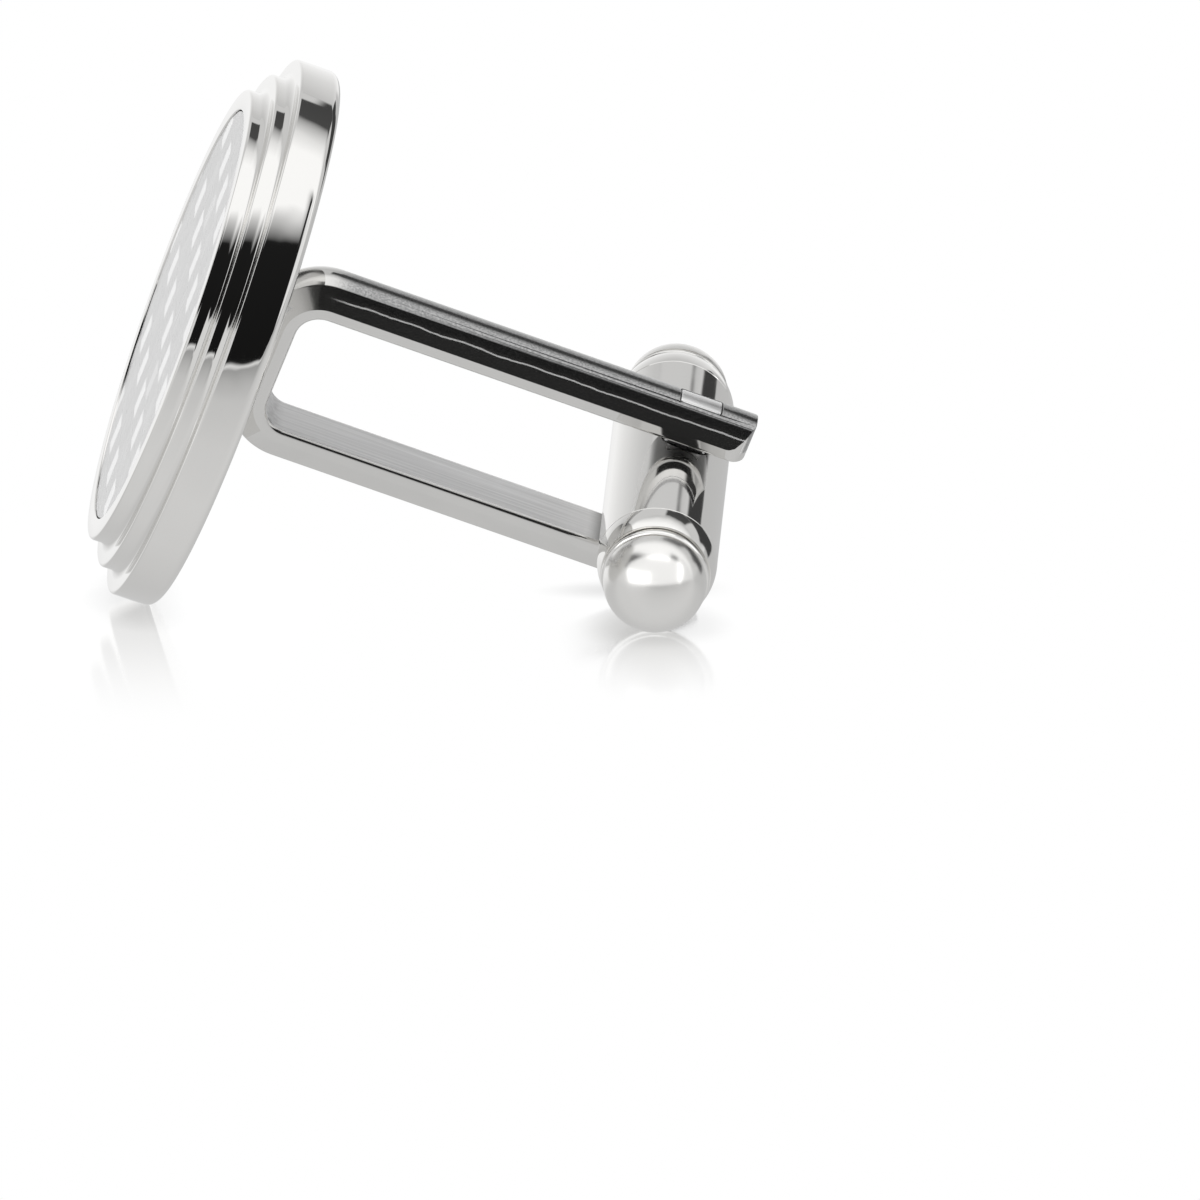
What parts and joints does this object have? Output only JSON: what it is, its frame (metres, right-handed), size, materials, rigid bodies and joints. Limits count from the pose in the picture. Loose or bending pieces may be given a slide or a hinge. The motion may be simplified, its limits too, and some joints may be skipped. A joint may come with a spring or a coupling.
{
  "type": "cufflink",
  "caption": "Polished round cufflink with a stepped head, a woven inlay in its face, a U-shaped yoke and a domed toggle that turns to pass through the buttonholes.",
  "frame": {"origin": "centre of the face, on the plane of the lip, with the cufflink lying on its face", "axes": "+Z from the face through the yoke to the toggle, +X along the closed toggle, +Y along the pivot bar"},
  "size_m": [0.019, 0.019, 0.0198],
  "materials": {
    "polished_rhodium": "mirror polished plating",
    "yoke_rhodium": "polished outside, brushed lengthways inside",
    "woven_fibre": "chequered weave under clear resin",
    "bond_film": "cured adhesive",
    "bar_steel": "filed flush",
    "spring_steel": "rolled"
  },
  "bodies": {
    "head": {"stepped_head": "polished_rhodium", "inlay_adhesive": "bond_film", "woven_inlay": "woven_fibre", "yoke": "yoke_rhodium", "pivot_bar": "bar_steel"},
    "toggle": {"toggle_barrel": "polished_rhodium", "toggle_cap_near": "polished_rhodium", "toggle_cap_far": "polished_rhodium", "detent_spring_upper": "spring_steel", "detent_spring_lower": "spring_steel"}
  },
  "joints": [
    {"name": "toggle_turn", "type": "hinge", "parent": "head", "child": "toggle", "pos_m": [0, 0, 0.01779], "axis": [0, 1, 0], "range_deg": [-90, 90], "deforming": ["detent_spring_upper", "detent_spring_lower"]}
  ]
}
